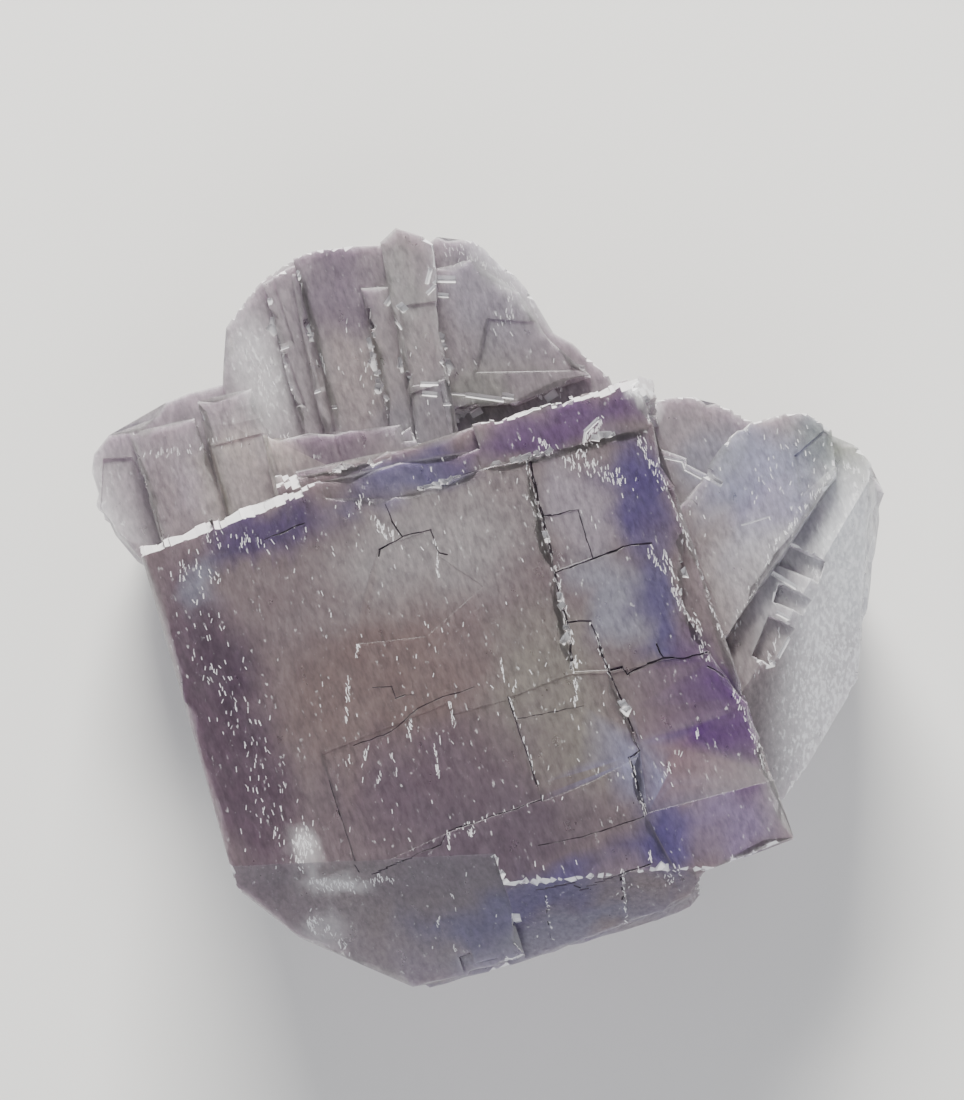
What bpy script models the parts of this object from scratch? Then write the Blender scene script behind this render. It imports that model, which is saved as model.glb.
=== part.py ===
"""Fluorite specimen: pale violet cubes grown together, laid on their broken back, which is cut off flat.

Metres, +Z up. X runs along the main cube's top edge and Y up its side edges, so the main face looks up.
Every length below is in millimetres and is worked out from the photograph. The numbers are measured from
the middle of the main face. The finished cluster is moved so that the middle of its box is over the origin.
"""

import math

import bmesh
import bpy
from mathutils import Vector

MM = 0.001

# The main cube: its face is 34 mm by 32 mm and lies 22 mm above the cut back.
FACE_HEIGHT = 22.0
MAIN_OUTLINE = (
    (-17.7, -16.4),
    (-9.0, -16.3),
    (-5.6, -16.7),
    (-2.4, -16.8),
    (2.4, -16.9),
    (7.7, -17.1),
    (9.8, -16.8),
    (10.9, -16.1),
    (17.0, -15.8),
    (17.3, 16.3),
    (6.7, 16.6),
    (0.6, 16.7),
    (0.4, 17.0),
    (-5.3, 17.6),
    (-7.1, 17.8),
    (-7.3, 16.3),
    (-16.9, 15.8),
    (-17.1, 5.0),
    (-17.4, -5.6),
)
BELOW_CUT = -2.0

# Growth steps on the main face: the outline of each lower terrace in plan, and its height.
TERRACES = (
    (
        ((8.7, 13.2), (8.1, 5.5), (7.2, -1.2), (9.3, -1.8), (9.6, -7.4), (8.6, -11.4), (10, -20),
         (20, -20), (20, 13.2)),
        21.88,
    ),
    (((16.8, 8.4), (16.9, 5.5), (15.3, 1.1), (15.8, -2.7), (17.0, -6.6), (20, -6.6), (20, 8.4)), 21.45),
    (((5.7, 13.5), (20, 12.6), (20, 20), (5.9, 20)), 21.78),
    (((-4.4, 14.9), (-0.1, 13.5), (5.8, 13.5), (6.1, 20), (-4.4, 20)), 21.72),
    (((-20, 16.2), (-5.3, 16.2), (0.9, 15.7), (6.1, 14.9), (6.2, 20), (-20, 20)), 21.2),
    (((-20, 17.2), (-5.8, 17.1), (0.5, 16.4), (0.6, 20), (-20, 20)), 20.7),
)

# Breaks on the main cube: three points of each cleavage plane, a point on the side that is gone, and how far
# the break reaches along X.
GONE_BEFORE = (-12.0, -40.0, 40.0)
GONE_BELOW = (0.0, -60.0, -20.0)
GONE_LEFT = (-60.0, -20.0, -5.0)
GONE_RIGHT = (60.0, -20.0, -5.0)
BREAKS = (
    (((-17.6, -6.2, 22.0), (-2.0, -10.6, 22.0), (-9.7, -16.0, 16.4)), GONE_BEFORE, (-30, -1.3)),
    (((-0.6, -13.0, 22.0), (9.9, -15.6, 22.0), (3.0, -17.0, 16.8)), GONE_BEFORE, (-1.4, 30)),
    (((-17.6, -5.6, 18.0), (-14.6, -11.2, 18.0), (-15.6, -3.6, 8.0)), GONE_LEFT, (-30, 30)),
    (((-14.9, -10.8, 18.0), (-9.2, -16.9, 18.0), (-13.4, -6.8, 8.0)), GONE_LEFT, (-30, 30)),
    (((17.0, -15.9, 21.3), (10.0, -16.3, 21.3), (13.0, -11.5, 12.0)), GONE_BELOW, (10.6, 30)),
    (((-6.0, -16.7, 15.2), (8.0, -17.1, 15.2), (2.0, -11.0, 0.0)), GONE_BELOW, (-30, 30)),
    (((-17.6, 12.0, 9.5), (-17.6, -3.0, 9.5), (-12.5, 5.0, 0.0)), GONE_LEFT, (-30, 30)),
    (((17.3, -4.0, 11.0), (17.3, -14.0, 13.0), (13.5, -8.0, 0.0)), GONE_RIGHT, (-30, 30)),
)

# The crystals behind and beside it. Each has the corners of its upper face in plan, the height of that face
# at its middle with its rise along X and Y, the depth of its straight sides, and the foot that it narrows to
# with the share of its width left there.
CRYSTALS = {
    "block_behind_ledges": (
        ((-7.9, 15.0), (2.6, 15.0), (2.4, 19.4), (-1.5, 20.2), (-7.1, 21.8)),
        (17.2, 0.0, 0.0), 12.0, (-2.0, 17.0), 0.8,
    ),
    "left_outer": (
        ((-16.0, 15.4), (-6.0, 14.0), (-6.2, 27.2), (-8.6, 27.8), (-11.1, 28.0), (-12.8, 27.9),
         (-13.8, 27.1), (-17.2, 27.0), (-18.5, 26.1), (-19.0, 25.0), (-19.0, 23.3), (-19.4, 22.6),
         (-18.7, 20.7), (-17.6, 18.0)),
        (11.6, 0.05, 0.0), 5.0, (-8.5, 19.0), 0.7,
    ),
    "left_face": (
        ((-15.9, 14.5), (-10.9, 14.0), (-11.2, 25.6), (-15.7, 26.1)),
        (13.4, 0.05, 0.0), 6.0, (-9.0, 18.0), 0.7,
    ),
    "left_inner": (
        ((-11.4, 14.0), (-6.4, 14.0), (-6.9, 26.1), (-10.7, 26.5)),
        (14.2, 0.05, 0.0), 6.0, (-8.0, 18.5), 0.8,
    ),
    "back_outer": (
        ((-8.8, 15.0), (1.5, 15.0), (1.5, 34.0), (-1.5, 34.5), (-3.9, 33.8), (-5.2, 33.0), (-6.6, 32.0),
         (-7.3, 31.4), (-7.1, 30.5), (-7.4, 29.6), (-8.2, 29.1), (-8.7, 27.7)),
        (12.5, 0.05, 0.02), 7.0, (-1.5, 22.0), 0.72,
    ),
    "back_ledge": (
        ((-4.7, 15.0), (1.5, 15.0), (1.5, 33.6), (-2.0, 33.7), (-4.0, 33.3), (-4.4, 26.5)),
        (13.5, 0.08, 0.02), 6.0, (-0.5, 22.0), 0.7,
    ),
    "back_second_ledge": (
        ((-3.6, 15.0), (1.5, 15.0), (1.5, 32.0), (-1.9, 32.9), (-2.4, 29.4), (-3.0, 24.3)),
        (14.3, 0.08, 0.02), 6.0, (-0.5, 22.0), 0.7,
    ),
    "back_face": (
        ((-2.9, 15.0), (3.0, 15.0), (4.6, 32.5), (2.5, 33.2), (1.1, 33.6), (-0.1, 33.8), (-1.5, 33.8)),
        (15.0, 0.1, 0.02), 9.0, (0.5, 22.0), 0.72,
    ),
    "low_blade": (
        ((0.4, 15.0), (4.0, 15.0), (4.4, 29.2), (2.2, 29.8)),
        (15.9, 0.0, 0.04), 8.0, (2.5, 20.0), 0.8,
    ),
    "blade": (
        ((2.2, 16.0), (5.0, 16.0), (6.6, 26.7), (7.3, 28.8), (7.7, 30.8), (7.2, 31.6), (5.7, 32.8),
         (4.4, 32.2), (3.8, 28.1)),
        (17.0, 0.1, 0.02), 10.0, (4.5, 22.0), 0.7,
    ),
    "right_face": (
        ((4.0, 14.0), (16.6, 14.0), (16.2, 19.4), (15.3, 20.9), (14.6, 22.2), (13.6, 23.3), (13.1, 25.7),
         (12.8, 26.8), (12.3, 28.0), (11.5, 29.1), (11.0, 30.2), (10.5, 31.0), (9.7, 31.3), (8.8, 31.5),
         (8.2, 32.0), (7.6, 31.8), (6.4, 26.7)),
        (14.3, 0.0, 0.12), 8.0, (9.0, 20.5), 0.72,
    ),
    "right_upper_ledge": (
        ((4.2, 20.6), (9.6, 19.3), (15.0, 19.6), (13.2, 22.6), (12.2, 26.4), (9.8, 29.6), (6.9, 29.7)),
        (14.9, 0.0, 0.12), 6.0, (9.0, 20.5), 0.72,
    ),
    "wedge": (
        ((15.0, 2.0), (24.0, 4.0), (24.3, 12.8), (23.1, 14.2), (22.3, 14.9), (21.7, 15.0), (21.2, 15.8),
         (20.0, 16.2), (18.9, 16.4), (18.0, 16.3), (15.0, 17.0)),
        (14.3, 0.05, 0.03), 9.0, (18.0, 8.5), 0.8,
    ),
    "wedge_ledge": (
        ((15.0, 12.9), (17.8, 12.7), (19.1, 11.6), (18.8, 11.4), (20.9, 9.1), (15.5, 6.0)),
        (15.6, 0.1, 0.0), 6.0, (17.0, 9.0), 0.7,
    ),
    "corner_nub": (
        ((16.0, 14.6), (18.2, 14.7), (18.3, 15.9), (17.5, 16.5), (16.0, 16.5)),
        (21.0, 0.0, 0.0), 9.0, (16.5, 14.5), 0.8,
    ),
}

# The mass that all of them grew from, between their feet. It is broken off flat below.
ROOT_OUTLINE = (
    (-15.0, 14.0), (-14.6, 23.0), (-10.0, 25.4), (-6.4, 27.5), (-3.0, 30.4), (5.0, 29.4), (9.0, 28.0),
    (11.6, 23.5), (15.2, 17.0), (20.5, 13.6), (26.0, 9.0), (27.0, 4.0), (24.0, -2.5), (18.5, -8.0),
    (12.0, -9.0), (-8.0, 2.0),
)
ROOT_HEIGHT = 8.5
ROOT_MIDDLE = (5.0, 12.0)
ROOT_TOP_SHARE = 0.97
ROOT_FOOT_SHARE = 0.93

# The right crystal: its smooth face, a narrow band that steps down beside it with notches along its outer
# edge, and its long frosted side.
RIGHT_SMOOTH = (
    (13.0, -4.6), (17.8, -1.1), (27.8, 6.6), (28.5, 9.6), (27.4, 11.3), (26.0, 11.8), (23.6, 12.0),
    (22.1, 11.6), (20.2, 9.5), (18.0, 8.6), (13.0, 5.0),
)
RIGHT_SMOOTH_FACE = (17.9, 0.10, -0.09)
RIGHT_BAND = (
    (13.0, -8.0), (17.9, -4.5), (22.1, -1.0), (25.2, 2.2), (29.8, 5.8), (30.3, 6.8), (29.8, 8.3),
    (27.0, 11.0), (14.0, 3.0),
)
RIGHT_BAND_FACE = (17.4, 0.04, -0.04)
RIGHT_SIDE_LOW = (
    (13.0, -12.0), (18.0, -11.6), (19.8, -10.3), (23.3, -7.1), (25.2, -5.6), (26.9, -2.1), (27.8, -0.1),
    (28.8, 1.4), (29.8, 3.6), (31.1, 5.9), (30.9, 8.0), (28.4, 11.0), (24.0, 12.2), (14.0, 6.0),
)
RIGHT_SIDE_HEIGHT = 12.5
RIGHT_SHOULDER_HEIGHT = 7.0
RIGHT_SHOULDER_SHARE = 0.93
RIGHT_FOOT = (20.5, 0.5)
RIGHT_FOOT_SHARE = 0.68
RIGHT_NOTCHES = (
    ((22.3, 2.3), (24.4, 0.4), (25.3, 1.6), (23.3, 3.5)),
    ((21.2, 0.1), (23.2, -1.7), (24.0, -0.8), (21.9, 1.1)),
    ((18.7, -2.9), (20.6, -4.6), (22.5, -2.4), (20.6, -0.7)),
)
RIGHT_NOTCH_HEIGHT = 16.9


def mesh_object(name, build):
    """A new object whose mesh is made by build, a function that fills a bmesh."""
    form = bmesh.new()
    build(form)
    bmesh.ops.recalc_face_normals(form, faces=form.faces)
    mesh = bpy.data.meshes.new(name)
    form.to_mesh(mesh)
    form.free()
    made = bpy.data.objects.new(name, mesh)
    bpy.context.scene.collection.objects.link(made)
    return made


def prism(name, outline, low, high):
    """An upright block with this outline in plan, between two heights."""

    def build(form):
        floor = [form.verts.new((x * MM, y * MM, low * MM)) for x, y in outline]
        bottom = form.faces.new(floor)
        risen = bmesh.ops.extrude_face_region(form, geom=[bottom])
        lifted = [item for item in risen["geom"] if isinstance(item, bmesh.types.BMVert)]
        bmesh.ops.translate(form, verts=lifted, vec=(0, 0, (high - low) * MM))

    return mesh_object(name, build)


def hull(name, points):
    """The smallest convex block that holds all these points."""

    def build(form):
        for point in points:
            form.verts.new(Vector(point) * MM)
        wrapped = bmesh.ops.convex_hull(form, input=form.verts)
        spare = {item for key in ("geom_interior", "geom_unused") for item in wrapped[key]}
        inside = [item for item in spare if isinstance(item, bmesh.types.BMVert)]
        bmesh.ops.delete(form, geom=inside, context="VERTS")
        bmesh.ops.dissolve_limit(form, angle_limit=math.radians(0.3), verts=form.verts, edges=form.edges)

    return mesh_object(name, build)


def combine(target, tool, operation):
    """Unites the tool with the target, or cuts it away, and removes the tool."""
    step = target.modifiers.new(tool.name, "BOOLEAN")
    step.operation = operation
    step.solver = "EXACT"
    step.object = tool
    bpy.context.view_layer.objects.active = target
    bpy.ops.object.modifier_apply(modifier=step.name)
    bpy.data.objects.remove(tool)


def cleave(target, plane, gone, span):
    """Breaks off what lies beyond the plane through three points, on the side of the point gone, between two
    places along X."""
    first, second, third = (Vector(point) for point in plane)
    across = (second - first).normalized()
    outward = (second - first).cross(third - first).normalized()
    if outward.dot(Vector(gone) - first) < 0:
        outward.negate()
    along = outward.cross(across)
    reach = 90.0
    corners = [
        first + across * i * reach + along * j * reach + outward * k * reach
        for i in (-1, 1)
        for j in (-1, 1)
        for k in (0, 1)
    ]
    cutter = hull("break", corners)
    limits = [(x, y, z) for x in span for y in (-reach, reach) for z in (-reach, reach)]
    combine(cutter, hull("reach", limits), "INTERSECT")
    combine(target, cutter, "DIFFERENCE")


def height_on(face, middle, x, y):
    """Height of a crystal's upper face above the cut, at a point in plan."""
    level, rise_x, rise_y = face
    return level + rise_x * (x - middle[0]) + rise_y * (y - middle[1])


def middle_of(corners):
    """The mean of the corners in plan."""
    return (sum(x for x, _ in corners) / len(corners), sum(y for _, y in corners) / len(corners))


def narrowed(corners, foot, share):
    """The corners drawn in toward the foot, below the cut."""
    return [(foot[0] + (x - foot[0]) * share, foot[1] + (y - foot[1]) * share, BELOW_CUT) for x, y in corners]


def stacked(name, rings):
    """A closed body from rings of corners, uppermost first, all with the same count."""

    def build(form):
        loops = [[form.verts.new(Vector(point) * MM) for point in ring] for ring in rings]
        count = len(loops[0])
        form.faces.new(loops[0])
        form.faces.new(list(reversed(loops[-1])))
        for upper, lower in zip(loops, loops[1:]):
            for i in range(count):
                j = (i + 1) % count
                form.faces.new((upper[i], lower[i], lower[j], upper[j]))
        bmesh.ops.triangulate(form, faces=form.faces)

    return mesh_object(name, build)


def crystal(name, corners, face, sides, foot, share):
    """One grown crystal: a flat upper face, straight sides, and a broken part that narrows to its foot."""
    middle = middle_of(corners)
    upper = [(x, y, height_on(face, middle, x, y)) for x, y in corners]
    shoulder = [(x, y, z - sides) for x, y, z in upper]
    return stacked(name, [upper, shoulder, narrowed(corners, foot, share)])


bpy.data.objects.remove(bpy.data.objects["Cube"])

cluster = prism("fluorite_cluster", MAIN_OUTLINE, BELOW_CUT, FACE_HEIGHT)
for outline, level in TERRACES:
    combine(cluster, prism("terrace", outline, level, FACE_HEIGHT + 5), "DIFFERENCE")
for plane, gone, span in BREAKS:
    cleave(cluster, plane, gone, span)

root_top = [(x, y, ROOT_HEIGHT) for x, y, _ in narrowed(ROOT_OUTLINE, ROOT_MIDDLE, ROOT_TOP_SHARE)]
root_foot = narrowed(ROOT_OUTLINE, ROOT_MIDDLE, ROOT_FOOT_SHARE)
combine(cluster, stacked("root", [root_top, root_foot]), "UNION")

for name, (corners, face, sides, foot, share) in CRYSTALS.items():
    combine(cluster, crystal(name, corners, face, sides, foot, share), "UNION")

smooth_middle = middle_of(RIGHT_SMOOTH)
smooth_top = [(x, y, height_on(RIGHT_SMOOTH_FACE, smooth_middle, x, y)) for x, y in RIGHT_SMOOTH]
smooth_low = [(x, y, RIGHT_SIDE_HEIGHT) for x, y in RIGHT_SMOOTH]
combine(cluster, hull("right_smooth", smooth_top + smooth_low), "UNION")
band_middle = middle_of(RIGHT_BAND)
band_top = [(x, y, height_on(RIGHT_BAND_FACE, band_middle, x, y)) for x, y in RIGHT_BAND]
side_low = [(x, y, RIGHT_SIDE_HEIGHT) for x, y in RIGHT_SIDE_LOW]
side_shoulder = narrowed(RIGHT_SIDE_LOW, RIGHT_FOOT, RIGHT_SHOULDER_SHARE)
shoulder = [(x, y, RIGHT_SHOULDER_HEIGHT) for x, y, _ in side_shoulder]
side_foot = narrowed(RIGHT_SIDE_LOW, RIGHT_FOOT, RIGHT_FOOT_SHARE)
side = hull("right_side", band_top + side_low + shoulder + side_foot)
for outline in RIGHT_NOTCHES:
    combine(side, prism("notch", outline, RIGHT_NOTCH_HEIGHT, FACE_HEIGHT), "DIFFERENCE")
combine(cluster, side, "UNION")

cleave(cluster, ((0, 0, 0), (1, 0, 0), (0, 1, 0)), (0, 0, -50), (-60, 60))

corners = [Vector(corner) for corner in cluster.bound_box]
low = Vector((min(c.x for c in corners), min(c.y for c in corners), min(c.z for c in corners)))
high = Vector((max(c.x for c in corners), max(c.y for c in corners), max(c.z for c in corners)))
move = Vector((-(low.x + high.x) / 2, -(low.y + high.y) / 2, -low.z))
for vertex in cluster.data.vertices:
    vertex.co += move
print("moved by", [round(value / MM, 3) for value in move])
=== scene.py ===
import math
import random

import bmesh
import bpy
from mathutils import Matrix, Vector, noise


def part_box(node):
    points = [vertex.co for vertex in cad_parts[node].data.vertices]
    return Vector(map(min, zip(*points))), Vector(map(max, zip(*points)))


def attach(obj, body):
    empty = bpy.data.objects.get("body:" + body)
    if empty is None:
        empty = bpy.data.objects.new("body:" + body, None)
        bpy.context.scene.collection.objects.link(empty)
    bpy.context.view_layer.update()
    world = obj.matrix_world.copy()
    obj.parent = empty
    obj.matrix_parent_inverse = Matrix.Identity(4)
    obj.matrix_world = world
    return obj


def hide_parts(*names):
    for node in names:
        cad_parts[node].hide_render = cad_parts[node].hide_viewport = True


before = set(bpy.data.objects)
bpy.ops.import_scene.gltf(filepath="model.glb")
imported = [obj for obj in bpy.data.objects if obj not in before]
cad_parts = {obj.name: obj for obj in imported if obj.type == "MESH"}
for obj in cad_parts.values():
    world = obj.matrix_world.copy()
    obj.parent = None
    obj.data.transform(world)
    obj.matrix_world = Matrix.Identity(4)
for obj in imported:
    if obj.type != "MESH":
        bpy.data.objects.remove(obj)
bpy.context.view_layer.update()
bpy.ops.object.select_all(action="DESELECT")
random.seed(7)
noise.seed_set(7)

# The cluster: cubes of fluorite that grew into one another, one natural piece of stone, snapped off the
# rock. It starts as the solid's own flat faces, with loose corners joined. The sections below cut its
# growth steps, cracks and chips into them. Its surface is of three kinds: faces that grew, crack walls,
# painted dark as painted shade, and fresh chips, painted white, which on the glints, specks and strips
# is painted highlight.
MM = 0.001
LOWEST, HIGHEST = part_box("fluorite_cluster")
LEFT_REACH = 19.4
NEAR_REACH = 17.1
FACE_MIDDLE = Vector((LOWEST.x + LEFT_REACH * MM, LOWEST.y + NEAR_REACH * MM, HIGHEST.z))
GROWN, CRACKED, CHIPPED_AND_GLINT = 0, 1, 2
ABOVE_ALL = 5.0
SAME_CORNER = 0.002
SAME_PLANE = math.radians(0.4)

cluster = bpy.data.objects.new("fluorite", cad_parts["fluorite_cluster"].data.copy())
bpy.context.scene.collection.objects.link(cluster)
cluster.data.materials.clear()
for kind in ("grown face", "crack wall", "fresh chip and painted glint"):
    cluster.data.materials.append(bpy.data.materials.new(kind))
bpy.context.view_layer.objects.active = cluster
cluster.select_set(True)
bpy.ops.object.mode_set(mode="EDIT")
bpy.ops.mesh.select_all(action="SELECT")
bpy.ops.mesh.remove_doubles(threshold=SAME_CORNER * MM)
bpy.ops.mesh.dissolve_limited(angle_limit=SAME_PLANE)
bpy.ops.mesh.quads_convert_to_tris(quad_method="BEAUTY", ngon_method="BEAUTY")
bpy.ops.object.mode_set(mode="OBJECT")


def place(x, y, z=0.0):
    """A place in millimetres from the middle of the main face: X along its far edge, Y along its sides."""
    return FACE_MIDDLE + Vector((x, y, z)) * MM


def surface(x, y):
    """The point of the cluster straight below this place, and the way its face looks."""
    hit, point, normal, _ = cluster.ray_cast(place(x, y, ABOVE_ALL), Vector((0, 0, -1)))
    return (point, normal) if hit else (None, None)


def reach(tool):
    """The two ends of the box that a tool fills."""
    pattern, matrix, _ = tool
    spots = [matrix @ vertex.co for vertex in pattern.vertices]
    return [tuple(choose(spot[i] for spot in spots) for i in range(3)) for choose in (min, max)]


def apart(one, other):
    """True when two boxes don't touch."""
    return any(one[0][i] > other[1][i] or other[0][i] > one[1][i] for i in range(3))


def cut_out(tools):
    """Cuts tools out of the cluster, in goes within which no two of them touch.

    Each is a closed pattern, the matrix that puts it in its place, and the kind of surface that it leaves.
    """
    goes = []
    for tool in tools:
        box = reach(tool)
        for boxes, members in goes:
            if all(apart(box, other) for other in boxes):
                boxes.append(box)
                members.append(tool)
                break
        else:
            goes.append(([box], [tool]))
    for _, members in goes:
        together = bmesh.new()
        for pattern, matrix, kind in members:
            one = pattern.copy()
            one.transform(matrix)
            one.polygons.foreach_set("material_index", [kind] * len(one.polygons))
            together.from_mesh(one)
            bpy.data.meshes.remove(one)
        joined = bpy.data.meshes.new("tool")
        together.to_mesh(joined)
        together.free()
        for material in cluster.data.materials:
            joined.materials.append(material)
        tool = bpy.data.objects.new("tool", joined)
        bpy.context.scene.collection.objects.link(tool)
        step = cluster.modifiers.new("cut", "BOOLEAN")
        step.operation = "DIFFERENCE"
        step.solver = "MANIFOLD"
        step.object = tool
        bpy.context.view_layer.objects.active = cluster
        bpy.ops.object.modifier_apply(modifier=step.name)
        bpy.data.objects.remove(tool)


# The broken sides: below its upper faces the cluster is snapped fluorite, which comes away in flat
# flakes, so the sides are many small facets. Long edges are divided, and on the sides the corners are
# pressed in by uneven amounts, with the rims at the top and the foot left straight.
STEEP = 0.45
CALM_FOOT = 0.8
FACET_EDGE = 1.7
DIVIDINGS = 6
PRESSED_IN = 0.6
UNEVEN = 2


def is_broken_side(face):
    """True for a face that stands more or less upright, away from the foot."""
    return abs(face.normal.z) < STEEP and face.calc_center_median().z > CALM_FOOT * MM


bpy.context.view_layer.objects.active = cluster
bpy.ops.object.mode_set(mode="EDIT")
bpy.ops.mesh.select_mode(type="EDGE")
for _ in range(DIVIDINGS):
    bpy.ops.mesh.select_all(action="DESELECT")
    form = bmesh.from_edit_mesh(cluster.data)
    for edge in form.edges:
        on_side = all(is_broken_side(face) for face in edge.link_faces)
        on_top = all(face.normal.z > STEEP for face in edge.link_faces)
        edge.select_set((on_side or on_top) and edge.calc_length() > FACET_EDGE * MM)
    bmesh.update_edit_mesh(cluster.data)
    bpy.ops.mesh.subdivide(number_cuts=1)
    bpy.ops.mesh.select_all(action="SELECT")
    bpy.ops.mesh.quads_convert_to_tris(quad_method="BEAUTY", ngon_method="BEAUTY")
form = bmesh.from_edit_mesh(cluster.data)
form.normal_update()
for vertex in form.verts:
    if all(is_broken_side(face) for face in vertex.link_faces):
        vertex.co -= vertex.normal * random.random() ** UNEVEN * PRESSED_IN * MM
bmesh.update_edit_mesh(cluster.data)
bpy.ops.object.mode_set(mode="OBJECT")


# The growth steps: each cube's upper face is a stack of thin flat layers that stop short of its edges. Each
# outline here is where one layer ends, and how much lower the next one lies.
GROWTH_STEPS = (
    (((8.5, 9.2), (10.9, 8.9), (10.7, 5.6), (8.1, 5.5)), 0.07),
    (
        ((9.4, -2.1), (12.9, -2.3), (15.6, -2.8), (17.9, -3.5), (17.9, -12.0), (8.8, -11.4), (9.7, -7.0)),
        0.06,
    ),
    (((2.8, -1.5), (7.0, -1.3), (9.2, -2.0), (9.4, -7.8), (6.0, -8.4), (2.7, -8.6)), 0.05),
    (
        ((-9.8, -1.2), (-1.1, -0.6), (-1.0, -1.4), (2.6, -1.6), (2.6, -8.4), (-3.6, -8.6), (-9.8, -9.3)),
        0.04,
    ),
    (((-2.2, 10.6), (1.4, 10.7), (1.4, 8.8), (3.5, 6.0), (-1.0, 4.0), (-5.5, 5.0), (-4.0, 8.0)), 0.04),
    (((6.0, -14.6), (8.3, -14.3), (10.3, -15.3), (10.6, -18.0), (5.2, -18.0)), 0.22),
    (((-5.6, -15.6), (-4.6, -15.6), (-4.6, -16.3), (-3.2, -16.4), (-3.2, -17.2), (-5.6, -17.2)), 0.5),
    (((-15.7, 17.0), (-16.0, 25.0), (-18.0, 25.6), (-20.0, 20.0), (-18.0, 15.5)), 0.18),
    (((-10.7, 17.0), (-7.2, 17.0), (-7.2, 22.9), (-10.7, 23.2)), 0.10),
    (((-4.3, 28.3), (-4.2, 34.0), (-3.2, 34.0), (-3.2, 28.4)), 0.22),
    (((-4.6, 24.0), (-4.5, 28.0), (-3.9, 28.0), (-3.8, 24.0)), 0.18),
    (((-2.5, 24.4), (-2.2, 29.6), (-1.9, 29.6), (-1.9, 24.2)), 0.2),
    (((0.6, 18.6), (4.6, 17.6), (5.2, 21.5), (1.2, 21.6)), 0.10),
    (((3.2, 22.0), (6.0, 21.6), (6.7, 27.0), (4.2, 27.6)), 0.16),
    (((-7.0, 18.4), (-2.6, 17.4), (-2.6, 20.8), (-7.0, 22.4)), 0.12),
    (((7.6, 22.2), (14.0, 20.2), (13.0, 24.0), (9.6, 25.4)), 0.10),
    (((18.0, 8.8), (19.9, 10.2), (20.4, 9.7), (18.6, 7.8)), 0.15),
    (((25.2, 6.0), (27.6, 7.1), (29.4, 7.2), (28.0, 9.8), (25.6, 8.8)), 0.12),
)
STEP_CLEARANCE = 3.0


def layer_end(corners, drop):
    """A block over these corners whose underside lies this far below the face there."""
    middle = (sum(x for x, _ in corners) / len(corners), sum(y for _, y in corners) / len(corners))
    point, normal = surface(*middle)
    bpy.ops.mesh.primitive_circle_add(vertices=len(corners), fill_type="NGON")
    block = bpy.context.object
    pattern = block.data
    bpy.ops.object.mode_set(mode="EDIT")
    bpy.ops.mesh.select_all(action="SELECT")
    bpy.ops.mesh.extrude_region_move(TRANSFORM_OT_translate={"value": (0, 0, STEP_CLEARANCE * MM)})
    bpy.ops.object.mode_set(mode="OBJECT")
    for i, vertex in enumerate(pattern.vertices):
        spot = place(*corners[i % len(corners)])
        fall = normal.x * (spot.x - point.x) + normal.y * (spot.y - point.y)
        rise = STEP_CLEARANCE if i >= len(corners) else -drop
        vertex.co = Vector((spot.x, spot.y, point.z - fall / normal.z + rise * MM))
    bpy.ops.object.mode_set(mode="EDIT")
    bpy.ops.mesh.select_all(action="SELECT")
    bpy.ops.mesh.normals_make_consistent(inside=False)
    if bmesh.from_edit_mesh(pattern).calc_volume(signed=True) < 0:
        bpy.ops.mesh.flip_normals()
    bpy.ops.object.mode_set(mode="OBJECT")
    bpy.data.objects.remove(block)
    return pattern


for corners, drop in GROWTH_STEPS:
    cut_out([(layer_end(corners, drop), Matrix(), GROWN)])
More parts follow.
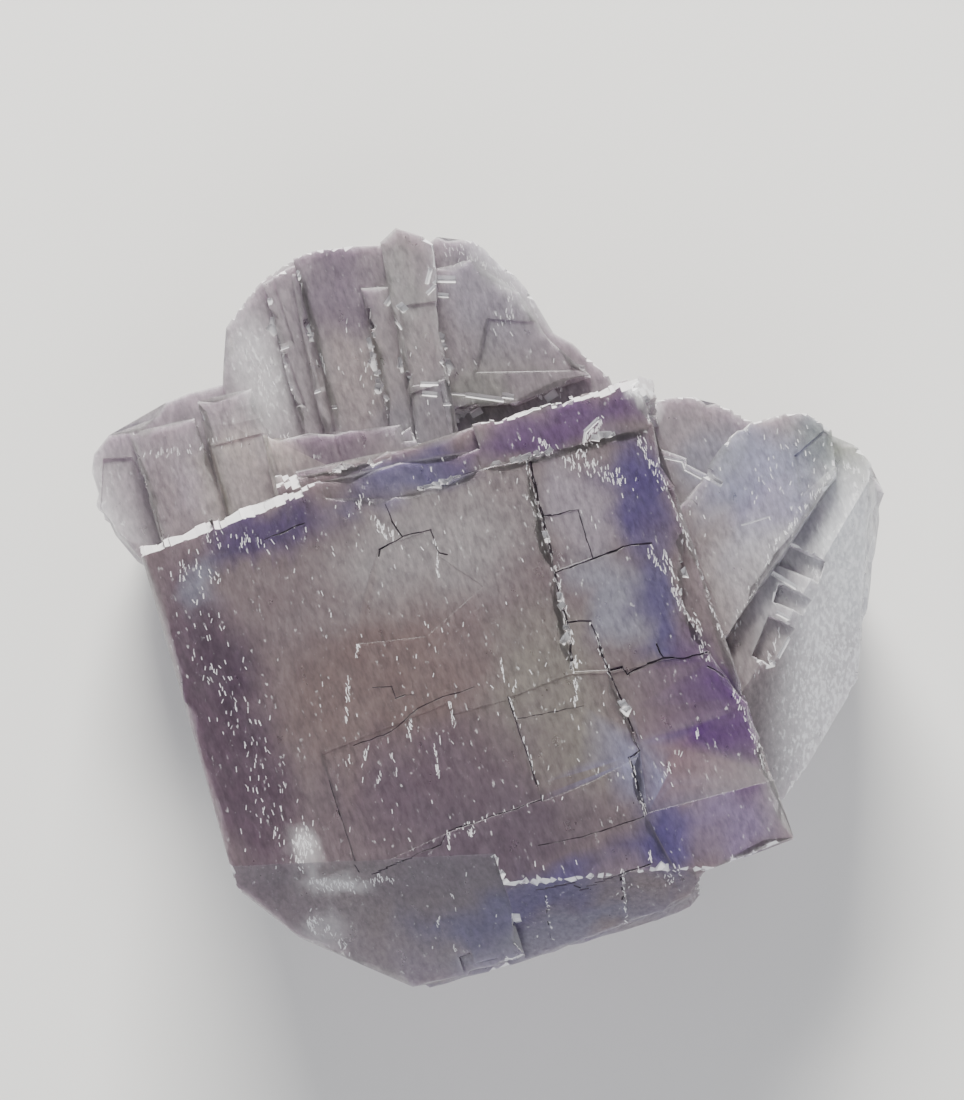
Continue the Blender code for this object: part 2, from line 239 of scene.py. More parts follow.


# The cracks: cleavage lines that open along the growth steps of the main face, their walls painted dark as
# a painted shade inside, with white glinting specks beside them. Each is a chain of short V-shaped cuts
# along a line of places, of about this width and depth.
CRACK_PIECE = 0.55
CRACK_SWAY = 0.05
GROOVE_OVERLAP = 0.07
GROOVE_RISE = 0.2
CRACK_SHARE = (0.5, 1.25)
CRACKS = (
    (
        ((8.9, 12.9), (8.6, 10.3), (8.5, 8.3), (8.2, 6.2), (8.1, 5.4), (7.9, 3.5), (7.8, 1.6), (7.2, -1.0)),
        0.20, 0.16,
    ),
    (((8.5, 9.2), (10.9, 8.9), (10.7, 5.6)), 0.10, 0.09),
    (((8.1, 5.4), (11.2, 5.5), (13.4, 5.6), (14.6, 5.3)), 0.16, 0.16),
    (((7.9, 2.0), (8.6, 1.9), (9.3, 1.6)), 0.13, 0.12),
    (
        ((9.3, 1.4), (9.3, -1.9), (9.6, -4.1), (9.5, -6.6), (9.6, -7.4), (8.8, -7.7), (8.7, -11.4)),
        0.16, 0.14,
    ),
    (
        ((9.3, -1.8), (10.2, -1.9), (10.4, -2.4), (10.9, -2.3), (12.9, -2.2), (14.2, -2.6), (15.7, -2.7)),
        0.16, 0.15,
    ),
    (((12.85, -1.2), (12.9, -2.2)), 0.10, 0.1),
    (((15.5, -3.6), (16.5, -5.0)), 0.14, 0.12),
    (((-2.3, 10.1), (-2.1, 10.5), (-0.4, 10.8), (1.4, 10.7), (1.4, 9.0), (1.9, 8.8)), 0.14, 0.12),
    (((-0.8, 13.2), (-0.8, 12.0), (-0.5, 10.9)), 0.10, 0.1),
    (((-9.0, 13.5), (-6.3, 13.8)), 0.12, 0.1),
    (((-7.5, -1.3), (-5.0, -1.2), (-3.0, -0.3), (-1.2, -0.1), (0.8, -0.15)), 0.08, 0.07),
    (((-5.3, 1.9), (-4.2, 1.6), (-4.1, 0.8), (-3.0, 0.7)), 0.07, 0.06),
    (((2.7, -1.5), (2.7, -5.0), (2.7, -8.5)), 0.12, 0.1),
    (((2.8, -3.0), (7.0, -3.5)), 0.06, 0.05),
    (((-9.8, -3.0), (-9.8, -9.2)), 0.06, 0.05),
    (((-9.0, -9.5), (-4.3, -9.2), (-3.6, -8.5), (2.7, -8.5)), 0.08, 0.07),
    (((1.6, -11.2), (4.5, -11.6), (8.4, -11.6)), 0.08, 0.07),
    (((0.6, -13.8), (3.0, -14.1), (3.2, -14.6), (7.9, -14.6)), 0.12, 0.1),
    (((5.9, -14.6), (5.6, -16.0)), 0.18, 0.14),
    (((1.0, -14.0), (0.5, -16.4)), 0.10, 0.08),
    (((0.1, 13.4), (1.5, 13.6), (5.6, 13.5), (8.6, 13.1)), 0.10, 0.08),
)


def groove(start, end, width, depth, kind):
    """A V-shaped cut into the face between two places in plan, or nothing where it misses the cluster."""
    point, normal = surface((start[0] + end[0]) / 2, (start[1] + end[1]) / 2)
    if point is None:
        return []
    along = place(*end) - place(*start)
    along -= normal * along.dot(normal)
    along *= 1 + 2 * GROOVE_OVERLAP * MM / along.length
    across = normal.cross(along.normalized())
    point += normal * random.uniform(-GROOVE_RISE, GROOVE_RISE) * depth * MM
    turn = Matrix((along, across * width * MM / 2, normal * depth * MM)).transposed().to_4x4()
    return [(groove_bar, Matrix.Translation(point) @ turn, kind)]


def stretch(line, gap):
    """The places every so far along a line of places in plan, with its ends."""
    found = [line[0]]
    for start, end in zip(line, line[1:]):
        count = max(1, round(math.dist(start, end) / gap))
        found += [tuple(a + (b - a) * i / count for a, b in zip(start, end)) for i in range(1, count + 1)]
    return found


bpy.ops.mesh.primitive_cylinder_add(vertices=4, radius=1, depth=1, rotation=(0, math.pi / 2, 0))
bpy.ops.object.transform_apply(location=False, rotation=True, scale=False)
groove_bar = bpy.context.object.data
bpy.data.objects.remove(bpy.context.object)

tools = []
for line, width, depth in CRACKS:
    spots = stretch(line, CRACK_PIECE)
    spots = [tuple(c + random.uniform(-CRACK_SWAY, CRACK_SWAY) for c in spot) for spot in spots]
    for start, end in zip(spots, spots[1:]):
        share = random.uniform(*CRACK_SHARE)
        tools += groove(start, end, width * share, depth * share, CRACKED)
cut_out(tools)


# The bright cleavage glints: small stepped breaks on the crystals behind, whose far side faces the light.
# Each is a short, wide V-shaped cut between two places, of this width, its walls painted white as a
# painted highlight.
GLINT_DEPTH = 0.5
GLINTS = (
    (((4.0, 22.0), (5.0, 21.6)), 0.55), (((5.0, 21.6), (6.7, 20.9)), 0.2),
    (((6.7, 20.9), (8.9, 19.8)), 0.42), (((9.0, 20.1), (9.6, 19.8)), 0.42),
    (((3.9, 21.3), (4.7, 20.9)), 0.4), (((4.8, 20.1), (5.4, 19.9)), 0.2), (((6.5, 28.4), (7.0, 29.2)), 0.3),
    (((7.0, 29.1), (8.4, 28.6)), 0.6), (((6.3, 27.7), (6.9, 28.0)), 0.3),
    (((6.9, 28.0), (7.6, 27.7)), 0.35), (((3.5, 28.2), (4.2, 28.8)), 0.4),
    (((3.6, 27.0), (3.9, 26.0)), 0.18), (((-3.1, 24.5), (-2.6, 24.5)), 0.22),
    (((-2.6, 23.1), (-1.9, 22.9)), 0.22), (((-4.2, 28.4), (-3.7, 28.4)), 0.18),
    (((17.7, 12.2), (18.8, 11.5)), 0.2), (((18.8, 11.5), (18.8, 10.9)), 0.16),
    (((18.8, 10.9), (19.6, 10.0)), 0.22), (((19.5, 10.1), (20.6, 8.7)), 0.5),
    (((21.8, 1.9), (22.9, 0.5)), 0.35), (((21.2, -0.7), (22.1, -1.7)), 0.3),
    (((23.3, 3.6), (23.9, 3.0)), 0.3), (((20.4, -3.4), (21.4, -2.4)), 0.3),
    (((20.9, 5.5), (22.7, 5.4)), 0.12), (((12.6, 13.0), (13.0, 13.8)), 0.25),
    (((13.0, 13.8), (14.0, 14.3)), 0.3),
)
tools = []
for (start, end), width in GLINTS:
    tools += groove(start, end, width, width * GLINT_DEPTH, CHIPPED_AND_GLINT)
cut_out(tools)


# The glinting specks: tiny shallow flakes cut into the upper faces, drawn out along the main face's side
# edges and painted white, a painted highlight for the glints of light off small crushed facets. They crowd
# beside the cracks and along the worn edges. Each trail has its two ends, how many specks it has and how
# far they spread.
SPECK_LENGTH = (0.06, 0.25)
SPECK_WIDTH = (0.035, 0.075)
SPECK_DEPTH = 0.3
SPECK_WAY = 80
SPECK_LEAN = 14
SPECK_SPREAD = 0.6
GLINT_SPECK_TRAILS = (
    ((8.7, 13.2), (8.1, 5.2), 60, 0.15), ((8.1, 5.2), (7.7, 0.5), 45, 0.15),
    ((7.5, 0.2), (7.3, -1.2), 25, 0.3), ((9.3, 1.5), (9.5, -7.0), 40, 0.12),
    ((8.8, -7.7), (8.7, -11.2), 22, 0.15), ((2.8, -1.5), (2.8, -8.5), 30, 0.08),
    ((15.3, 4.5), (15.1, 0.5), 40, 0.25), ((15.6, 0.0), (15.7, -3.0), 40, 0.3),
    ((14.2, 4.8), (15.0, 3.0), 20, 0.3), ((16.9, 0.0), (17.2, -3.0), 15, 0.2),
    ((16.5, -5.0), (16.8, -11.0), 30, 0.2), ((-7.6, 0.2), (-6.6, 3.2), 22, 0.12),
    ((-5.7, 4.2), (-5.3, 4.9), 8, 0.15), ((-3.1, -5.0), (-2.7, -3.0), 14, 0.08),
    ((-2.3, -2.8), (-2.1, -2.6), 3, 0.1), ((-7.4, -2.7), (-6.9, -1.7), 10, 0.1),
    ((-4.2, -2.2), (-3.6, -0.8), 14, 0.12), ((-5.6, -4.0), (-5.5, -2.5), 6, 0.1),
    ((-6.8, -4.0), (-6.5, -3.5), 4, 0.1), ((-1.1, -2.2), (-0.9, -0.4), 14, 0.1),
    ((2.8, -0.5), (3.1, 1.3), 10, 0.06), ((3.3, -1.1), (3.6, -0.6), 5, 0.1),
    ((6.6, -3.3), (7.2, -1.5), 18, 0.2), ((-1.9, 12.5), (-0.9, 10.8), 30, 0.35),
    ((-2.6, 13.8), (-1.8, 14.3), 10, 0.2), ((0.9, 7.4), (1.2, 8.8), 10, 0.1),
    ((1.4, 9.0), (1.4, 10.5), 8, 0.08), ((9.8, 14.2), (10.6, 13.2), 20, 0.3),
    ((12.6, 12.9), (14.2, 14.3), 40, 0.2), ((11.0, 12.5), (13.0, 11.5), 40, 0.5),
    ((12.6, 11.0), (14.6, 9.5), 40, 0.6), ((16.0, 13.0), (16.8, 8.0), 40, 0.35),
    ((16.8, 8.0), (16.9, 4.0), 20, 0.2), ((-9.2, -9.8), (-8.2, -10.0), 20, 0.3),
    ((-3.9, -9.7), (-3.6, -8.6), 10, 0.1), ((-2.4, -9.3), (-1.8, -8.7), 12, 0.15),
    ((-4.5, -8.5), (2.5, -8.4), 20, 0.12), ((-13.9, -11.2), (-13.7, -10.8), 20, 0.3),
    ((-13.6, -10.3), (-11.9, -13.3), 24, 0.2), ((-6.1, -13.5), (-5.8, -13.0), 5, 0.1),
    ((-4.7, -13.0), (-4.6, -12.0), 5, 0.1), ((-5.6, -15.3), (-5.5, -14.8), 5, 0.1),
    ((0.6, -16.4), (1.0, -14.2), 12, 0.06), ((5.3, -17.4), (5.9, -15.0), 25, 0.1),
    ((6.0, -14.5), (6.3, -15.5), 14, 0.25), ((7.9, -14.5), (8.2, -13.8), 8, 0.1),
    ((8.5, -15.8), (9.6, -15.2), 20, 0.3), ((-5.5, -16.8), (-4.2, -16.8), 12, 0.2),
    ((-14.5, 13.6), (-12.6, 12.2), 30, 0.9), ((-12.5, 14.8), (-9.0, 13.6), 30, 0.6),
    ((-14.4, 11.0), (-14.0, -6.0), 120, 1.4), ((10.0, -9.8), (12.2, -8.0), 12, 0.3),
    ((13.3, -7.7), (13.5, -7.3), 6, 0.2), ((-13.2, -7.6), (-12.2, -5.4), 60, 0.5),
    ((-13.0, -8.7), (-9.6, -9.9), 40, 0.25), ((0.0, 15.5), (0.0, -16.0), 130, 16.0),
    ((18.2, -1.0), (22.0, 2.8), 30, 0.2), ((22.2, 3.2), (27.6, 6.8), 40, 0.2),
    ((18.2, -4.4), (24.0, 0.8), 30, 0.2), ((24.0, 0.8), (29.6, 5.6), 40, 0.25),
    ((24.0, 8.0), (24.0, 7.0), 60, 4.0), ((27.6, 8.0), (29.4, 6.6), 16, 0.4),
    ((8.4, 31.4), (12.6, 26.8), 40, 0.5), ((10.4, 24.4), (12.4, 27.4), 30, 0.8),
    ((-7.4, 22.4), (-5.4, 22.6), 14, 0.3), ((-6.2, 30.5), (-6.0, 24.5), 24, 0.7),
    ((-15.0, 24.2), (-8.0, 22.8), 30, 0.3), ((1.0, 26.0), (1.2, 24.0), 20, 3.0),
)

tools = []
for start, end, count, sway in GLINT_SPECK_TRAILS:
    for _ in range(count):
        share = random.random()
        x, y = (a + (b - a) * share + random.gauss(0, sway * SPECK_SPREAD) for a, b in zip(start, end))
        turn = math.radians(random.gauss(SPECK_WAY, SPECK_LEAN))
        half = random.uniform(*SPECK_LENGTH) / 2
        reach_x = half * math.cos(turn)
        reach_y = half * math.sin(turn)
        width = random.uniform(*SPECK_WIDTH)
        start_spot = (x - reach_x, y - reach_y)
        end_spot = (x + reach_x, y + reach_y)
        tools += groove(start_spot, end_spot, width, width * SPECK_DEPTH, CHIPPED_AND_GLINT)
cut_out(tools)


# The chipped edges: the sharp rims of the faces that look up have lost small flat flakes of stone, and the
# fresh chips are painted white, partly the white of crushed stone and partly painted highlight, the glints
# off their small facets. Each chip is a block whose inner face lies just under the edge. The low rims,
# the thin layers and some stretches that noise picks stay whole.
SHARP = math.radians(50)
FACES_UP = 0.6
SHORTEST_EDGE = 0.6
CHIP_GAP = 0.42
CHIP_SIZE = (0.3, 0.9)
CHIP_BITE = (0.03, 0.11)
CHIP_NARROW = (0.5, 1.0)
CHIP_BLOCK = 0.6
THIN_LAYER = 0.3
CHIP_LEAN = 0.5
CALM_BELOW = -9.5
UNCHIPPED = -0.3
WEAR_SCALE = 260.0


def flake(point, outward, size, bite):
    """A block that takes a flat chip off an edge at this point. It leans at random."""
    lean = Vector([random.uniform(-CHIP_LEAN, CHIP_LEAN) for _ in range(3)])
    up = (outward + lean).normalized()
    along = up.orthogonal().normalized()
    along.rotate(Matrix.Rotation(random.uniform(0, math.tau), 3, up))
    sideways = up.cross(along)
    height = size * MM * CHIP_BLOCK
    middle = point + up * (height / 2 - bite * MM)
    sides = (along * size * MM, sideways * size * MM * random.uniform(*CHIP_NARROW), up * height)
    return (flake_block, Matrix.Translation(middle) @ Matrix(sides).transposed().to_4x4(), CHIPPED_AND_GLINT)


def across(face, edge):
    """How far a face reaches from one of its edges."""
    start, end = (vertex.co for vertex in edge.verts)
    along = (end - start).normalized()
    ways = [vertex.co - start for vertex in face.verts]
    return max((way - along * way.dot(along)).length for way in ways)


bpy.ops.mesh.primitive_cube_add(size=1)
flake_block = bpy.context.object.data
bpy.data.objects.remove(bpy.context.object)

tools = []
form = bmesh.new()
form.from_mesh(cluster.data)
for edge in form.edges:
    proud = edge.is_manifold and edge.calc_face_angle_signed() > SHARP
    grown = all(face.material_index == GROWN for face in edge.link_faces)
    on_top = any(face.normal.z > FACES_UP for face in edge.link_faces)
    thin = any(across(face, edge) < THIN_LAYER * MM for face in edge.link_faces)
    first, second = (vertex.co for vertex in edge.verts)
    low = max(first.z, second.z) < FACE_MIDDLE.z + CALM_BELOW * MM
    if not proud or not grown or not on_top or thin or low or edge.calc_length() < SHORTEST_EDGE * MM:
        continue
    outward = (edge.link_faces[0].normal + edge.link_faces[1].normal).normalized()
    count = max(1, int(edge.calc_length() / (CHIP_GAP * MM)))
    for i in range(count):
        point = first.lerp(second, (i + random.random()) / count)
        if noise.noise(point * WEAR_SCALE) > UNCHIPPED:
            tools.append(flake(point, outward, random.uniform(*CHIP_SIZE), random.uniform(*CHIP_BITE)))
form.free()
cut_out(tools)


# The sunlit strips: along the far edge of the main face, at both its ends, the stone is broken back in a
# rough, slanting strip of many small flat cuts, painted white as painted sunlight on the slant. Each line
# here is the near border of a strip.
STRIPS = (
    ((-17.2, 15.05), (-13.0, 15.15), (-9.0, 15.3), (-6.0, 15.6), (-5.0, 15.9)),
    ((7.0, 16.0), (12.0, 15.7), (15.0, 15.4), (17.5, 15.2)),
)
STRIP_SLOPE = 31
STRIP_PIECE = (0.25, 0.6)
STRIP_TILT = 0.13
STRIP_SWAY = 0.05
STRIP_DEEP = 3.0
STRIP_OVERLAP = 1.3


def strip_cut(spot, length):
    """A block that breaks the edge back from this place in plan, on the slant."""
    slope = math.radians(STRIP_SLOPE) + random.gauss(0, STRIP_TILT)
    up = Vector((random.gauss(0, STRIP_TILT), math.sin(slope), math.cos(slope))).normalized()
    along = Vector((1, 0, 0))
    along = (along - up * along.dot(up)).normalized()
    sideways = up.cross(along)
    corner = place(*spot) + Vector((0, random.gauss(0, STRIP_SWAY) * MM, 0))
    middle = corner + up * STRIP_DEEP / 2 * MM
    sides = (along * length * STRIP_OVERLAP * MM, sideways * 2 * STRIP_DEEP * MM, up * STRIP_DEEP * MM)
    return (flake_block, Matrix.Translation(middle) @ Matrix(sides).transposed().to_4x4(), CHIPPED_AND_GLINT)


tools = []
for line in STRIPS:
    for spot in stretch(line, sum(STRIP_PIECE) / 2):
        tools.append(strip_cut(spot, random.uniform(*STRIP_PIECE)))
cut_out(tools)


# The stone: one see-through, cloudy fluorite over the whole cluster, violet in clouds and paler outward.
# Its colour from place to place is worked out at every corner of the mesh and painted on, and so is its
# frost, where it is crushed white. Each cloud has its middle and half-sizes in plan, its colour and its
# strength, and each patch of frost its middle, half-sizes, turn and strength.
FACE_LEFT, FACE_RIGHT, FACE_FAR = -17.8, 17.45, 16.9
FACE_COLOUR = (132, 120, 122)
CLOUDS = (
    ((-4.5, 1.5), (6.5, 5.5), (129, 113, 111), 0.9), ((1.0, 9.5), (6.5, 3.6), (162, 157, 157), 0.95),
    ((5.5, -3.0), (3.6, 6.0), (143, 138, 131), 0.9), ((-4.0, -5.5), (6.5, 3.4), (114, 99, 110), 0.95),
    ((-2.0, -10.5), (7.5, 2.6), (108, 95, 107), 0.9), ((10.8, 9.2), (2.2, 3.6), (163, 155, 163), 0.95),
    ((14.9, 8.6), (1.9, 3.6), (93, 82, 124), 1.0), ((11.2, 2.6), (2.0, 3.0), (151, 151, 162), 0.95),
    ((14.0, 1.0), (1.1, 4.0), (98, 92, 130), 0.9), ((14.6, -7.0), (2.2, 4.8), (100, 68, 122), 1.0),
    ((9.0, -9.2), (1.8, 2.2), (150, 150, 176), 0.9), ((11.8, -8.4), (1.5, 2.8), (150, 128, 134), 0.8),
    ((9.2, -13.2), (2.2, 2.0), (93, 84, 128), 1.0), ((-1.0, -14.2), (6.5, 1.4), (93, 86, 126), 0.95),
    ((14.0, -13.8), (3.0, 1.9), (138, 125, 152), 0.95), ((0.0, -16.6), (9.0, 0.9), (122, 120, 142), 0.9),
    ((-15.0, 2.0), (2.6, 12.0), (98, 82, 94), 1.0), ((-14.2, 6.0), (0.9, 4.5), (82, 68, 82), 0.7),
    ((-9.0, 14.0), (4.6, 1.6), (92, 78, 110), 1.0), ((-13.6, 12.6), (1.3, 1.7), (146, 148, 160), 0.8),
    ((1.5, 14.4), (4.5, 1.3), (112, 108, 138), 0.95), ((11.0, 14.7), (6.4, 1.5), (108, 85, 118), 1.0),
    ((-13.0, -12.5), (2.6, 2.4), (128, 118, 122), 0.8),
)
BEHIND_COLOUR = (164, 156, 155)
BEHIND_CLOUDS = (
    ((-17.6, 20.5), (1.6, 5.0), (180, 171, 158), 0.9), ((-14.4, 19.5), (1.5, 5.0), (156, 142, 140), 1.0),
    ((-12.4, 20.0), (0.8, 2.2), (200, 190, 196), 0.9), ((-9.2, 20.0), (2.4, 3.4), (228, 218, 204), 0.95),
    ((-6.3, 27.5), (1.9, 4.0), (184, 183, 178), 1.0), ((0.8, 30.5), (2.7, 3.6), (96, 80, 96), 1.0),
    ((-0.3, 25.0), (2.0, 3.2), (170, 159, 152), 0.95), ((-3.4, 19.4), (3.6, 2.2), (132, 116, 129), 1.0),
    ((3.6, 19.6), (2.8, 2.4), (145, 143, 149), 0.9), ((5.0, 29.0), (1.2, 4.6), (162, 161, 156), 1.0),
    ((10.6, 27.0), (3.2, 5.2), (155, 154, 161), 0.9), ((7.0, 20.4), (1.6, 2.0), (152, 158, 142), 0.8),
    ((23.0, 7.2), (3.4, 4.4), (154, 157, 178), 1.0), ((22.8, 5.8), (1.8, 1.4), (136, 130, 166), 0.8),
    ((27.8, 8.8), (2.8, 2.6), (134, 144, 146), 0.95), ((29.4, 8.6), (1.4, 2.0), (162, 170, 148), 0.7),
    ((24.0, 1.4), (4.6, 4.4), (202, 201, 204), 0.9), ((28.4, 0.6), (2.4, 6.0), (212, 222, 222), 0.9),
    ((20.6, 11.6), (2.6, 2.2), (154, 160, 172), 0.9),
)
FROST = (
    ((25.6, -2.0), (12.0, 3.0), 0.97, 0.65), ((12.6, 27.5), (1.4, 5.0), 0.45, 0.4),
    ((-18.8, 22.0), (0.9, 5.0), 0, 0.35), ((-12.5, -6.6), (0.8, 1.2), 0, 0.35),
    ((-11.4, -9.3), (2.0, 0.35), -0.35, 0.35), ((-13.2, -11.6), (1.5, 1.0), 0, 0.2),
    ((17.4, 15.7), (1.0, 0.9), 0, 0.8), ((-6.2, 27.5), (1.6, 4.5), 0, 0.3),
)
UNFROSTED = (-20.0, -12.0)
SOFTNESS = 0.5
WANDER = 1.7
WANDER_SCALE = 0.42
RICHNESS = 1.05
BRIGHTNESS = 0.95
PIVOT = 0.34
CONTRAST = 1.08
DEEP = (-14.0, -3.0)
DEEP_COLOUR = (176, 168, 176)


def linear(colour):
    """A colour given from 0 to 255 as it looks on a screen, as light, with more contrast and richer."""
    light = [((c / 255 + 0.055) / 1.055) ** 2.4 for c in colour]
    light = [PIVOT * (c / PIVOT) ** CONTRAST for c in light]
    grey = sum(light) / 3
    return Vector([max(0.0, (grey + (c - grey) * RICHNESS) * BRIGHTNESS) for c in light])


def share_of(spot, middle, half_sizes, turn=0.0):
    """How far a place lies inside a soft-edged oval: 1 well inside, 0 well outside."""
    x, y = spot.x - middle[0], spot.y - middle[1]
    if abs(x) + abs(y) > 2 * (half_sizes[0] + half_sizes[1]):
        return 0.0
    along = x * math.cos(turn) + y * math.sin(turn)
    over = y * math.cos(turn) - x * math.sin(turn)
    away = math.hypot(along / half_sizes[0], over / half_sizes[1])
    share = min(1.0, max(0.0, (1 + SOFTNESS - away) / (2 * SOFTNESS)))
    return share * share * (3 - 2 * share)


def painted(spot):
    """The colour of the stone at a place, in millimetres from the middle of the main face."""
    moved = spot + noise.noise_vector(spot * WANDER_SCALE) * WANDER
    on_face = FACE_LEFT < spot.x < FACE_RIGHT and spot.y < FACE_FAR
    shown = linear(FACE_COLOUR if on_face else BEHIND_COLOUR)
    for middle, half_sizes, colour, strength in CLOUDS if on_face else BEHIND_CLOUDS:
        shown = shown.lerp(linear(colour), share_of(moved, middle, half_sizes) * strength)
    depth = min(1.0, max(0.0, (spot.z - DEEP[0]) / (DEEP[1] - DEEP[0])))
    return linear(DEEP_COLOUR).lerp(shown, depth)


tints = []
frosts = []
for vertex in cluster.data.vertices:
    spot = (vertex.co - FACE_MIDDLE) / MM
    tints += [*painted(spot), 1.0]
    height = min(1.0, max(0.0, (spot.z - UNFROSTED[0]) / (UNFROSTED[1] - UNFROSTED[0])))
    whitest = max(share_of(spot, middle, half, turn) * strength for middle, half, turn, strength in FROST)
    frosts.append(whitest * height)
cluster.data.attributes.new("tint", "FLOAT_COLOR", "POINT").data.foreach_set("color", tints)
cluster.data.attributes.new("frost", "FLOAT", "POINT").data.foreach_set("value", frosts)
for name, kind in (("crack", CRACKED), ("chip_and_glint", CHIPPED_AND_GLINT)):
    marks = cluster.data.attributes.new(name, "FLOAT", "FACE")
    marks.data.foreach_set("value", [float(face.material_index == kind) for face in cluster.data.polygons])
cluster.data.polygons.foreach_set("material_index", [0] * len(cluster.data.polygons))
cluster.data.polygons.foreach_set("use_smooth", [False] * len(cluster.data.polygons))
cluster.data.materials.clear()
stone = bpy.data.materials.new("fluorite")
stone.use_nodes = True
cluster.data.materials.append(stone)


class Value:
    """A number or colour in the stone's shader, so that what is worked out from it reads as plain sums."""

    def __init__(self, socket):
        self.socket = socket

    def sum(self, operation, first, second):
        return node("ShaderNodeMath", "Value", {"operation": operation}, {0: first, 1: second})

    def __add__(self, other):
        return self.sum("ADD", self, other)

    def __radd__(self, other):
        return self.sum("ADD", other, self)

    def __mul__(self, other):
        return self.sum("MULTIPLY", self, other)

    def __rmul__(self, other):
        return self.sum("MULTIPLY", other, self)


def node(kind, output, settings, inputs):
    """Adds a node of this kind to the stone, and gives one of its outputs."""
    made = stone.node_tree.nodes.new(kind)
    for name, value in settings.items():
        setattr(made, name, value)
    for name, value in inputs.items():
        if isinstance(value, Value):
            stone.node_tree.links.new(value.socket, made.inputs[name])
        else:
            made.inputs[name].default_value = value
    return Value(made.outputs[output])


def vector(operation, first, second):
    """Sums on colours and places."""
    return node("ShaderNodeVectorMath", "Vector", {"operation": operation}, {0: first, 1: second})


def ramp(value, low, high):
    """0 below the first value, 1 above the second, and even between them."""
    return node("ShaderNodeMapRange", "Result", {}, {"Value": value, "From Min": low, "From Max": high})


FIRST, SECOND, MIXED = 6, 7, 2


def mix(share, first, second):
    """Two colours mixed, by the sockets of a Mix node that hold colours."""
    settings = {"data_type": "RGBA"}
    return node("ShaderNodeMix", MIXED, settings, {0: share, FIRST: first, SECOND: second})


def noise_of(scale, detail, stretched):
    """Cloudy noise over the stone, of so many waves a millimetre, drawn out where stretched is small."""
    at = vector("MULTIPLY", spot, stretched)
    waves = {"Vector": at, "Scale": scale, "Detail": detail, "Roughness": 0.6}
    return node("ShaderNodeTexNoise", "Fac", {}, waves)


whole = node("ShaderNodeTexCoord", "Object", {}, {})
spot = vector("MULTIPLY", whole, (1 / MM,) * 3)
tint = node("ShaderNodeAttribute", "Color", {"attribute_name": "tint"}, {})
frost = node("ShaderNodeAttribute", "Fac", {"attribute_name": "frost"}, {})
cracked = node("ShaderNodeAttribute", "Fac", {"attribute_name": "crack"}, {})
chip_and_glint_marks = node("ShaderNodeAttribute", "Fac", {"attribute_name": "chip_and_glint"}, {})
grain = noise_of(3.2, 2.0, (1.0, 0.4, 1.0))
# Glint flecks: small white specks from noise, more of them on frost, painted highlights for the glitter of
# light off tiny facets.
glint_flecks = ramp(noise_of(4.2, 2.0, (1.0, 0.4, 1.0)) + frost * 0.3, 0.66, 0.78)
mottle = noise_of(0.9, 3.0, (1.0, 0.6, 1.0))

GRAIN_DARK = (0.72, 0.70, 0.74, 1.0)
GRAIN_LIGHT = (1.22, 1.20, 1.22, 1.0)
CRACK_SHADOW_COLOUR = (0.045, 0.035, 0.050, 1.0)
CRACK_SHADE = 0.85
FROST_HAZE = 0.5
FROST_MOTTLE = 0.5
GLINT_FLECK_WHITE = 0.35
CHIP_AND_GLINT_WHITE = 0.62
SMOOTHEST = 0.12
colour = vector("MULTIPLY", tint, mix(ramp(grain, 0.3, 0.7), GRAIN_DARK, GRAIN_LIGHT))
# Crack walls are painted nearly black: painted shade inside the cracks.
colour = mix(cracked * CRACK_SHADE, colour, CRACK_SHADOW_COLOUR)

body = stone.node_tree.nodes["Principled BSDF"]
FLUORITE_IOR = 1.434
bump = node("ShaderNodeBump", "Normal", {}, {"Strength": 0.35, "Distance": 0.05 * MM, "Height": grain})
body.inputs["IOR"].default_value = FLUORITE_IOR
body.inputs["Transmission Weight"].default_value = 0.5
body.inputs["Subsurface Weight"].default_value = 0.9
body.inputs["Subsurface Scale"].default_value = 2.5 * MM
body.inputs["Subsurface Radius"].default_value = (1.0, 0.9, 1.0)
stone.node_tree.links.new(colour.socket, body.inputs["Base Color"])
stone.node_tree.links.new((SMOOTHEST + mottle * 0.5).socket, body.inputs["Roughness"])
stone.node_tree.links.new(bump.socket, body.inputs["Normal"])
# The white shader, mixed in by the chip, glint and frost marks: on the chips and the frost it is the white
# of crushed stone, and on the glints, specks, flecks and sunlit strips it is painted highlight.
chip_and_glint_white = stone.node_tree.nodes.new("ShaderNodeBsdfPrincipled")
chip_and_glint_white.inputs["Base Color"].default_value = (0.84, 0.84, 0.85, 1.0)
chip_and_glint_white.inputs["Roughness"].default_value = 0.5
frost_and_glint_flecks = ramp(frost * FROST_HAZE + glint_flecks * GLINT_FLECK_WHITE + mottle * frost * FROST_MOTTLE, 0.0, 1.0)
whiteness = node("ShaderNodeMath", "Value", {"operation": "MAXIMUM"}, {0: chip_and_glint_marks * CHIP_AND_GLINT_WHITE, 1: frost_and_glint_flecks})
blend = stone.node_tree.nodes.new("ShaderNodeMixShader")
stone.node_tree.links.new(whiteness.socket, blend.inputs["Fac"])
stone.node_tree.links.new(body.outputs["BSDF"], blend.inputs[1])
stone.node_tree.links.new(chip_and_glint_white.outputs["BSDF"], blend.inputs[2])
absorption = stone.node_tree.nodes.new("ShaderNodeVolumeAbsorption")
absorption.inputs["Color"].default_value = (0.80, 0.74, 0.90, 1.0)
absorption.inputs["Density"].default_value = 30.0
ending = stone.node_tree.nodes["Material Output"]
stone.node_tree.links.new(blend.outputs["Shader"], ending.inputs["Surface"])
stone.node_tree.links.new(absorption.outputs["Volume"], ending.inputs["Volume"])

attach(cluster, "root")
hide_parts("fluorite_cluster")

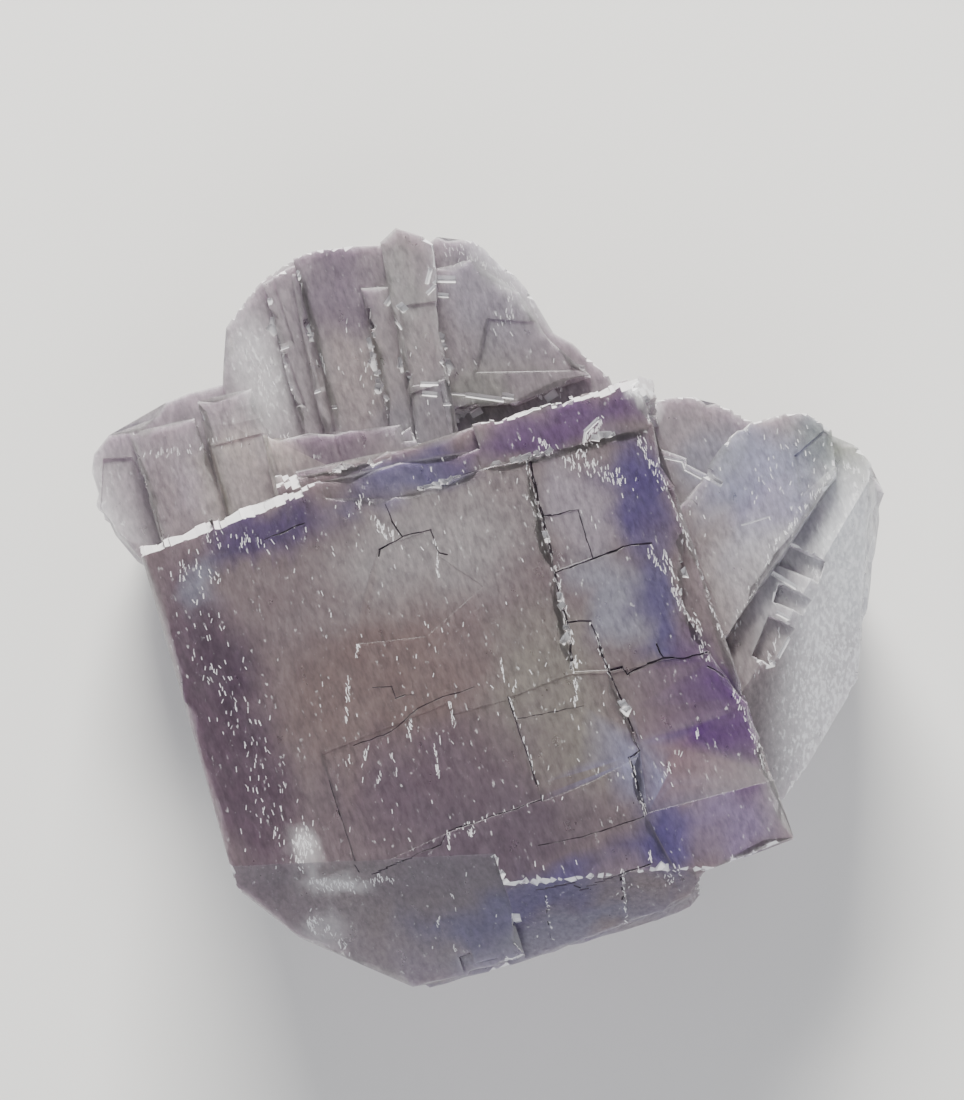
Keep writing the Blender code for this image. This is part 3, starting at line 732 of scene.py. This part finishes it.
# The floor, the light and the camera: a pale plain floor, a soft sky, and two soft lamps. The stronger
# lamp stands beyond the specimen, so that its far edges are the bright ones, and the other fills in from
# the near side. The camera looks down on the specimen at the photograph's angle.
bpy.ops.mesh.primitive_plane_add(size=4)
floor = bpy.context.object
floor.name = "floor"
floor_paint = bpy.data.materials.new("floor paint")
floor_paint.use_nodes = True
floor_paint.node_tree.nodes["Principled BSDF"].inputs["Base Color"].default_value = (0.72, 0.72, 0.70, 1.0)
floor_paint.node_tree.nodes["Principled BSDF"].inputs["Roughness"].default_value = 0.8
floor.data.materials.append(floor_paint)

sky = bpy.data.worlds.new("sky")
sky.use_nodes = True
sky.node_tree.nodes["Background"].inputs["Color"].default_value = (0.93, 0.95, 1.0, 1.0)
sky.node_tree.nodes["Background"].inputs["Strength"].default_value = 0.5
bpy.context.scene.world = sky


def soft_lamp(way, height, distance, size, energy, colour):
    """A square lamp that looks at the specimen from this way round and this high, in degrees."""
    bpy.ops.object.light_add(type="AREA")
    lamp = bpy.context.object
    flat = math.cos(math.radians(height)) * distance
    lamp.location = (
        flat * math.cos(math.radians(way)),
        flat * math.sin(math.radians(way)),
        math.sin(math.radians(height)) * distance,
    )
    lamp.rotation_euler = lamp.location.to_track_quat("Z", "Y").to_euler()
    lamp.data.size = size
    lamp.data.energy = energy
    lamp.data.color = colour


soft_lamp(way=78, height=30, distance=0.6, size=0.25, energy=12.0, colour=(1.0, 0.97, 0.92))
soft_lamp(way=-95, height=28, distance=0.8, size=0.9, energy=7.0, colour=(0.95, 0.96, 1.0))

CAMERA_WAY = math.radians(-6)
CAMERA_HEIGHT = math.radians(75)
CAMERA_ROLL = math.radians(-12.4)
CAMERA_DISTANCE = 260 * MM
CAMERA_LENS = 131.9
AIM = place(4.14, 8.32)
bpy.ops.object.camera_add()
camera = bpy.context.object
right = Vector((math.cos(CAMERA_WAY), math.sin(CAMERA_WAY), 0))
back = Vector((
    math.sin(CAMERA_WAY) * math.cos(CAMERA_HEIGHT),
    -math.cos(CAMERA_WAY) * math.cos(CAMERA_HEIGHT),
    math.sin(CAMERA_HEIGHT),
))
upward = back.cross(right)
sideways = right * math.cos(CAMERA_ROLL) + upward * math.sin(CAMERA_ROLL)
upward = back.cross(sideways)
turn = Matrix((sideways, upward, back)).transposed().to_4x4()
camera.matrix_world = Matrix.Translation(AIM + back * CAMERA_DISTANCE) @ turn
camera.data.lens = CAMERA_LENS
camera.data.sensor_width = 36
camera.data.clip_start = 0.01
bpy.context.scene.camera = camera
